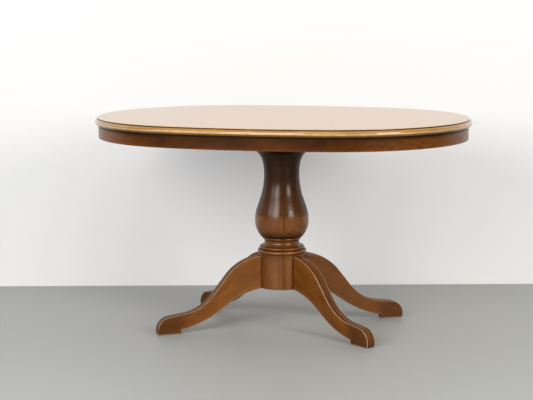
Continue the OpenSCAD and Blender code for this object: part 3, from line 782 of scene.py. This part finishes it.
def plate(gather, outline_at, low, high, ease, holes, grain_of, place=Matrix(), extra=(), bore=None):
    """A solid between two heights with eased arrises. outline_at gives its outline at a height, set in by a
    distance. holes are (x, y, head, shank, depth), countersunk from below, and bore is one right through."""
    solid = Solid()
    straight = min(2.5, (high - low) / 2 - ease - 0.2)
    eased = [(0.0, ease + 3.0, 0.0)]
    eased += [(ease * (1 - sin_d(a)), ease * (1 - cos_d(a)), 0.7) for a in (90, 55, 20, 0)]
    eased.append((ease + straight, 0.0, 0.0))
    rows = [(low + up, inset, t) for up, inset, t in eased] + [(z, 0.0, 0.0) for z in extra]
    rows += [(high - up, inset, t) for up, inset, t in reversed(eased)]
    rings = [solid.ring(outline_at(z, inset), z, t) for z, inset, t in rows]
    solid.wall(*rings)
    low_loops, high_loops = [rings[0]], [rings[-1]]

    def circle(x, y, r, z, t):
        return solid.ring(arc((x, y), r, 0, 360, 24)[:-1], z, t)

    # the holes get darker inwards, painted shade in them
    for x, y, head, shank, depth in holes:
        rings = [circle(x, y, head, low, 0.0), circle(x, y, head - 0.2, low + 0.3, -0.8),
                 circle(x, y, shank, low + depth, -1.0)]
        low_loops.append(rings[0])
        solid.wall(*rings)
        solid.faces.append(tuple(rings[-1]))
    if bore:
        x, y, r = bore
        rings = [circle(x, y, r + 1.0, low, 0.0), circle(x, y, r, low + 1.0, -0.3),
                 circle(x, y, r, high - 1.0, -0.3), circle(x, y, r + 1.0, high, 0.0)]
        solid.wall(*rings)
        low_loops.append(rings[0])
        high_loops.append(rings[-1])
    solid.cap(*low_loops)
    solid.cap(*high_loops)
    gather.add(solid.verts, solid.faces, [grain_of(v) for v in solid.verts], solid.tone, place)


def revolve(gather, rows, facets, closed, place, shaped=None, shift=0.0):
    """A solid of revolution about Z, from rows of (radius, height, tone). shaped may change a row's radius
    and height at an angle. A closed section has a bore."""
    verts, tone = [], []
    for k in range(facets):
        a = 2 * math.pi * k / facets
        for r, z, t in rows:
            r, z = shaped(r, z, a) if shaped else (r, z)
            verts.append((r * math.cos(a), r * math.sin(a), z))
            tone.append(t)
    grain = [(z + shift, x, y) for x, y, z in verts]
    gather.add(verts, grid_faces(facets, len(rows), True, closed), grain, tone, place)


def upright(x, y, z):
    return Matrix.Translation((x, y, z))


def radial(angle, s, z):
    """Local +Z points outwards along a leg."""
    turn = Matrix.Rotation(rad(angle), 4, "Z")
    return turn @ Matrix.Translation((s, 0, z)) @ Matrix.Rotation(rad(90), 4, "Y")


def thread_depth(z, a, low, high, pitch, depth):
    """How far a thread's groove cuts in, running out at both ends of its length."""
    fade = min(1.0, max(0.0, (z - low) / pitch), max(0.0, (high - z) / pitch))
    return depth * fade * abs(((z / pitch - a / (2 * math.pi)) % 1.0) * 2 - 1)


def rod(gather, length, d, threads, place, tip=0.0, facets=20, shift=0.0):
    """A round rod with threads. tip is the length of the point at the far end."""
    end = min(0.8, d * 0.1)
    zs = [0.0, end, length - (tip or end), length]
    for low, high, pitch, _ in threads:
        zs += list(np.arange(low, high, pitch / 5))
    rows = [(0.0, 0.0, 0.0)]
    for i, z in enumerate(sorted(zs)):
        r = d / 2
        if i == 0 or (z == length and not tip):
            r = d / 2 - 0.7
        elif tip and z > length - tip:
            r = d / 2 * max(0.05, (length - z) / tip)
        rows.append((r, z, 0.0))
    rows.append((0.0, length, 0.0))

    def cut_thread(r, z, a):
        for low, high, pitch, depth in threads:
            if low < z < high and r > 0:
                r = max(0.2, r - thread_depth(z, a, low, high, pitch, depth))
        return r, z

    revolve(gather, rows, facets, False, place, cut_thread, shift)


def washer(gather, bore, outer, height, place):
    b, e = bore / 2 + 0.05, min(0.35, height * 0.2)
    rows = [(b + e, 0, 0.2), (outer - e, 0, 0.2), (outer, e, 0.5), (outer, height - e, 0.5),
            (outer - e, height, 0.2), (b + e, height, 0.2), (b, height - e, -0.4), (b, e, -0.4)]
    revolve(gather, rows, 40, True, place)


def nut(gather, bore, flats, height, place):
    """A hexagon nut, its corners turned back at both faces and its bore countersunk."""
    b = bore / 2 + 0.05

    def hexagon(r, z, a):
        if r < 2 * b and r < flats * 0.4:
            return r, z
        corner = (flats / 2) / math.cos((a % (math.pi / 3)) - math.pi / 6)
        if r > flats / 2:
            rise = (corner - flats * 0.485) * 0.55
            return corner, (rise if z < height / 2 else height - rise)
        return r, z

    rows = [(b + 0.6, 0, 0), (flats * 0.485, 0, 0.3), (flats, 1, 0.6), (flats, height - 1, 0.6),
            (flats * 0.485, height, 0.3), (b + 0.6, height, 0), (b, height - 0.6, -0.5), (b, 0.6, -0.5)]
    revolve(gather, rows, 48, True, place, hexagon)


def wood_screw(gather, length, d, place, shift=0.0):
    """Countersunk screw with a cross recess, head down at the origin and pointing up."""
    solid = Solid()
    turns = np.radians(np.linspace(0, 360, 25)[:-1])
    arm, half = d * 0.52, d * 0.11
    cross = [(arm, -half), (arm, half), (half, half), (half, arm), (-half, arm), (-half, half), (-arm, half),
             (-arm, -half), (-half, -half), (-half, -arm), (half, -arm), (half, -half)]

    def circle(r, z, t):
        return solid.ring([(r * math.cos(a), r * math.sin(a)) for a in turns], z, t)

    face, edge = circle(d * 0.93, 0.06, 0.2), circle(d - 0.02, 0.3, 0.4)
    mouth = solid.ring(cross, 0.06, -0.3)
    floor = solid.ring([(x * 0.62, y * 0.62) for x, y in cross], d * 0.42, -1.0)
    solid.cap(face, mouth)
    solid.cap(floor)
    solid.wall(mouth, floor)
    rings = [face, edge, circle(d / 2, 0.6 * d, 0.0)]
    pitch, start = d * 0.5, min(length * 0.35, 18.0)
    for z in list(np.arange(start, length - d, pitch / 5)) + [length - d, length - d / 2, length - 0.1]:
        taper = min(1.0, max(0.06, (length - z) / d))
        radii = [(d / 2 - thread_depth(z, a, start, length - 0.5, pitch, d * 0.14)) * taper for a in turns]
        rings.append(solid.ring([(r * math.cos(a), r * math.sin(a)) for r, a in zip(radii, turns)], z, 0.0))
    solid.wall(*rings)
    solid.faces.append(tuple(rings[-1]))
    gather.add(solid.verts, solid.faces, [(z + shift, x, y) for x, y, z in solid.verts], solid.tone, place)


# backing veneer, under the core
under_z, over_z = heights("top_backing")
panel("underside_veneer", [(2.15, under_z, 0.0), (0.15, under_z, 0.0), (0.0, under_z + 0.15, 0.0),
                           (0.0, over_z, 0.0)], 5200.0, backing_wood, "top_backing")

# the two bearers
bearer_from, bearer_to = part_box("bearer_front")
bearer_l = bearer_to.x / MM
bearer_y = -(bearer_from.y + bearer_to.y) / 2 / MM
bearer_w = (bearer_to.y - bearer_from.y) / MM
slant = (nose_low - apron_z) * 0.6
screw_d = 5.0
sunk = (screw_d + 0.4, screw_d / 2 + 0.2, 3.2)    # radii and depth of a countersunk hole


def bearer_outline(z, inset):
    reach = bearer_l - max(0.0, (nose_low - slant - z) / (nose_low - slant - apron_z)) * slant
    w = bearer_w / 2
    return filleted(shrink([(reach, -w), (reach, w), (-reach, w), (-reach, -w)], inset), 1.6)


bearer_x = (-360.0, -220.0, 220.0, 360.0)
board_x = (-112.0, 0.0, 112.0)
for i, (where, side) in enumerate((("front", -1), ("rear", 1))):
    g = Gather()
    plate(g, bearer_outline, apron_z, nose_low, 1.2, [(x, 0.0, *sunk) for x in bearer_x],
          lambda v, i=i: (v[0] + 700.0 + 1900.0 * i, v[1] + 9.0, v[2] - apron_z - 30.0),
          upright(0, side * bearer_y, 0), extra=(nose_low - slant,))
    g.finish(f"rail_{where}", beech, "inner_wood", f"bearer_{where}", sharp=35)

# mounting board
board_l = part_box("mounting_board")[1].x / MM
board_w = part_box("mounting_board")[1].y / MM
clip = 34.0
quarter = [(board_l, board_w - clip), (board_l - clip, board_w)]
octagon = [(x * sx, y * sy) for sx, sy in ((1, 1), (-1, 1), (-1, -1), (1, -1)) for x, y in quarter[::sx * sy]]
g = Gather()
plate(g, lambda z, d: filleted(shrink(octagon, d), 2.0), board_z, apron_z, 1.6,
      [(x, s * bearer_y, *sunk) for x in board_x for s in (-1, 1)],
      lambda v: (v[0] + 300.0, v[1] + 20.0, v[2] - board_z - 60.0), bore=(0.0, 0.0, 27.1))
g.finish("column_board", beech, "inner_wood", "mounting_board", sharp=35)

# glue blocks
block_high, block_half, block_depth = 38.0, 23.0, 24.0
block_low = nose_low - block_high
# of each block: the x it is turned about, its angle, its distance, and which half of its back is on a long
# side's curve, where 2 is all of it
block_spots = [(s * end_c, 90.0 - 90.0 * s + s * k * join_a, end_r - apron_in, s * k)
               for s in (1, -1) for k in (-1, 0, 1)]
block_spots += [(0.0, 90.0, half_w - apron_in, 2), (0.0, -90.0, half_w - apron_in, 2)]
g, screws = Gather(), Gather()
for i, (x, turn, reach, bend) in enumerate(block_spots):
    points = []
    for y in np.linspace(-block_half, block_half, 9):
        if bend == 2:
            back = -side_c + math.sqrt((side_r - apron_in) ** 2 - y * y)
        elif y * bend > 0:
            back = end_r - side_r + math.sqrt((side_r - apron_in) ** 2 - y * y)
        else:
            back = math.sqrt((end_r - apron_in) ** 2 - y * y)
        points.append((back - 0.1, y))
    points += [(reach - block_depth, block_half), (reach - block_depth, -block_half)]
    where = Matrix.Translation((x, 0, 0)) @ Matrix.Rotation(rad(turn), 4, "Z")
    hole = reach - block_depth * 0.62
    plate(g, lambda z, d, p=points: filleted(shrink(p, d), 1.2), block_low, nose_low, 0.9,
          [(hole, 0.0, *sunk)], lambda v, i=i: (v[1] + 300.0 * i, v[0] - 350.0, v[2] - block_low), where)
    wood_screw(screws, 48.0, screw_d, where @ upright(hole, 0, block_low), 70.0 * i)
g.finish("corner_blocks", beech, "inner_wood", "glue_blocks", sharp=35)
screws.finish("block_screws_cut", steel, "fixings", "glue_block_screws")

# screws of the bearers, the board and the cover, and the cover itself
for name, node, xs, z in (("rail_screws", "bearer_screws", bearer_x, apron_z),
                          ("board_screws_cut", "board_screws", board_x, board_z)):
    g = Gather()
    for i, (x, s) in enumerate((x, s) for x in xs for s in (-1, 1)):
        wood_screw(g, 60.0, screw_d, upright(x, s * bearer_y, z) @ Matrix.Rotation(0.7 * i, 4, "Z"), 90.0 * i)
    g.finish(name, steel, "fixings", node)

cover_r, cover_screw_r, cover_d = 61.5, 56.0, 4.0
cover_low, cover_high = heights("base_cover")
g, screws = Gather(), Gather()
cover_spots = [(cover_screw_r * cos_d(a), cover_screw_r * sin_d(a)) for a in (0, 90, 180, 270)]
plate(g, lambda z, d: arc((0, 0), cover_r - d, 0, 360, 96)[:-1], cover_low, cover_high, 0.5,
      [(x, y, cover_d + 0.3, cover_d / 2 + 0.2, 2.5) for x, y in cover_spots],
      lambda v: (v[0] + 40.0, v[1] + 30.0, v[2]))
for i, (x, y) in enumerate(cover_spots):
    wood_screw(screws, 22.0, cover_d, upright(x, y, cover_low) @ Matrix.Rotation(0.5 + i, 4, "Z"), 50.0 * i)
g.finish("foot_cover", backing_wood, "core_board", "base_cover", sharp=35)
screws.finish("cover_screws_cut", steel, "fixings", "cover_screws")

# tie rod through the column, with its washers and nuts
rod_low, rod_high = heights("tie_rod")
rod_d, rod_l = 12.0, rod_high - rod_low
g = Gather()
threads = [(1.0, 45.0, 1.75, 0.95), (rod_l - 45.0, rod_l - 1.0, 1.75, 0.95)]
rod(g, rod_l, rod_d, threads, upright(0, 0, rod_low), facets=28)
g.finish("column_rod", steel, "fixings", "tie_rod", weld=0.002)
nuts_low, nuts_high = heights("rod_nuts")
g, rings = Gather(), Gather()
for z in (nuts_low, nuts_high - 10.0):
    nut(g, rod_d, 19.0, 10.0, upright(0, 0, z))
for z in (nuts_low + 10.0, apron_z):
    washer(rings, rod_d, 18.0, 3.0, upright(0, 0, z))
g.finish("column_nuts", steel, "fixings", "rod_nuts")
rings.finish("column_washers", steel, "fixings", "rod_washers")

# dowels, hanger bolts, washers and nuts of the legs, and the felt under the feet
dowel_l, dowel_d, bolt_d = 50.0, 10.0, 8.0
bolt_z, bolt_in, bolt_out, flat_at = 190.0, 32.0, 126.0, 44.0
dowels, bolts, washers, nuts, pads = Gather(), Gather(), Gather(), Gather(), Gather()
pad_from = 365.6
pad_to = toe_c[0] + math.sqrt(toe_r ** 2 - (toe_c[1] - felt_z) ** 2) - 1.0
pad_half = leg_w / 2 - 1.0
pad_shape = [(pad_from, -pad_half), (pad_to, -pad_half), (pad_to, pad_half), (pad_from, pad_half)]


def fluted(r, z, a):
    return (r - 0.35 * (0.5 + 0.5 * math.cos(12 * a)) if 2.0 < z < dowel_l - 2.0 and r > 1 else r), z


for i, angle in enumerate(LEGS.values()):
    for k, z in enumerate((157.0, 226.0)):
        r = dowel_d / 2
        rows = [(0, 0, 0), (r - 1.3, 0, 0.2), (r - 0.3, 1.6, 0.4), (r, 2.5, 0), (r, dowel_l / 2, 0)]
        rows += [(x, dowel_l - z, t) for x, z, t in reversed(rows[:-1])]
        revolve(dowels, rows, 72, False, radial(angle, leg_in - dowel_l / 2, z), fluted, 80.0 * (2 * i + k))
    bolt_l = bolt_out - bolt_in
    rod(bolts, bolt_l, bolt_d, [(1.0, 30.0, 1.25, 0.7), (44.0, bolt_l - 1.0, 3.0, 0.9)],
        radial(angle, bolt_in, bolt_z), tip=7.0, facets=24, shift=130.0 * i)
    washer(washers, bolt_d, 11.0, 2.0, radial(angle, flat_at - 2.0, bolt_z))
    nut(nuts, bolt_d, 13.0, 6.5, radial(angle, flat_at - 8.5, bolt_z))
    plate(pads, lambda z, d: filleted(shrink(pad_shape, d), 2.5, 5), 0.0, felt_z, 0.5, (),
          lambda v, i=i: (v[0] + 90.0 * i, v[1], v[2]), place=Matrix.Rotation(rad(angle), 4, "Z"))
dowels.finish("fluted_dowels", beech, "inner_wood", "leg_dowels", weld=0.002)
bolts.finish("leg_bolts", steel, "fixings", "hanger_bolts", weld=0.002)
washers.finish("leg_washers", steel, "fixings", "hanger_washers")
nuts.finish("leg_nuts", steel, "fixings", "hanger_nuts")
pads.finish("felt_feet", felt, "felt", "felt_pads", sharp=40)

# the core is closed in on every side, so it keeps its CAD mesh
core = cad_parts["top_core"]
core.data.materials.clear()
core.data.materials.append(board)


# -------------------- camera, light and stage

view_azimuth, view_distance, view_height = rad(15.46), 5.1366, 1.1587
view_down, view_left, view_roll = 0.14, 0.0101, -0.0046
away = Vector((-math.sin(view_azimuth), math.cos(view_azimuth), 0))
level = Matrix.Rotation(view_left, 3, "Z") @ away
forward = level * math.cos(view_down) - Vector((0, 0, math.sin(view_down)))
right = forward.cross(Vector((0, 0, 1))).normalized()
facing = Matrix((right, right.cross(forward), -forward)).transposed().to_4x4()
camera = linked("photo_camera", bpy.data.cameras.new("photo_camera"))
camera.data.lens = 103.06
camera.data.sensor_width = 36.0
camera.data.clip_end = 100.0
camera.matrix_world = (Matrix.Translation(Vector((0, 0, view_height)) - away * view_distance) @ facing
                       @ Matrix.Rotation(view_roll, 4, "Z"))
bpy.context.scene.camera = camera


def sheet(name, ends, material, n=24):
    """A large plain stage surface, with a fine grid so that it isn't one face."""
    a, b, c, d = [Vector(p) for p in ends]
    verts = [a.lerp(b, i / n).lerp(d.lerp(c, i / n), j / n) for i in range(n + 1) for j in range(n + 1)]
    mesh = bpy.data.meshes.new(name)
    mesh.from_pydata([tuple(p) for p in verts], [], grid_faces(n + 1, n + 1, closed_section=False))
    mesh.materials.append(material)
    linked(name, mesh)


sheet("floor", ((-14, -14, 0), (14, -14, 0), (14, 14, 0), (-14, 14, 0)),
      plain_plane("pale_floor", (0.305, 0.310, 0.300), 0.5, 0.03).material)

# the wall glows faintly, and is clear from behind so that it doesn't hide the back of the table
wall_away, wall_glow, wall_half, wall_high = 0.71, 0.21, 7.0, 3.4
s = plain_plane("white_wall", (0.50, 0.50, 0.502), 0.6, 0.01)
s.put(s.bsdf, {"Emission Color": (1.0, 1.0, 1.0, 1.0), "Emission Strength": wall_glow})
back = s.node("ShaderNodeNewGeometry", {})["Backfacing"]
clear = s.node("ShaderNodeBsdfTransparent", {})[0]
one_sided = s.node("ShaderNodeMixShader", {0: back, 1: s.bsdf.outputs[0], 2: clear})[0]
s.put(s.tree.nodes["Material Output"], {"Surface": one_sided})
across = Vector((level.y, -level.x, 0)) * wall_half
p0, p1 = away * wall_away - across, away * wall_away + across
rise = Vector((0, 0, wall_high))
sheet("wall", (p0, p0 + rise, p1 + rise, p1), s.material)


warm, cool, white = (1.0, 0.965, 0.90), (0.84, 0.88, 1.0), (1.0, 1.0, 1.0)
# azimuth to the right of the camera's side, distance, height, height aimed at, width, depth, power and colour
lights = {"window_left": (-26, 4.6, 2.1, 0.45, 1.8, 1.9, 144, warm),
          "window_far_left": (-51, 4.6, 2.1, 0.45, 2.2, 1.9, 75, cool),
          "window_right": (42, 4.6, 2.1, 0.45, 1.6, 1.9, 150, warm),
          "strip": (4, 3.0, 2.9, 0.7, 2.8, 0.16, 36, white),
          "ceiling": (20, 1.2, 3.3, 0.0, 4.0, 3.0, 19, white)}
for name, (azimuth, distance, height, target, width, depth, power, colour) in lights.items():
    light = bpy.data.lights.new(name, "AREA")
    light.shape = "RECTANGLE"
    light.size, light.size_y, light.energy, light.color = width, depth, power, colour
    place = Matrix.Rotation(rad(azimuth), 3, "Z") @ -away * distance + Vector((0, 0, height))
    turn = (Vector((0, 0, target)) - place).to_track_quat("-Z", "Y").to_matrix().to_4x4()
    linked(name, light).matrix_world = Matrix.Translation(place) @ turn

world = bpy.data.worlds.new("soft_world")
world.use_nodes = True
world.node_tree.nodes["Background"].inputs[0].default_value = (1.0, 1.0, 1.0, 1.0)
world.node_tree.nodes["Background"].inputs[1].default_value = 0.24
bpy.context.scene.world = world
bpy.context.scene.view_settings.view_transform = "Standard"
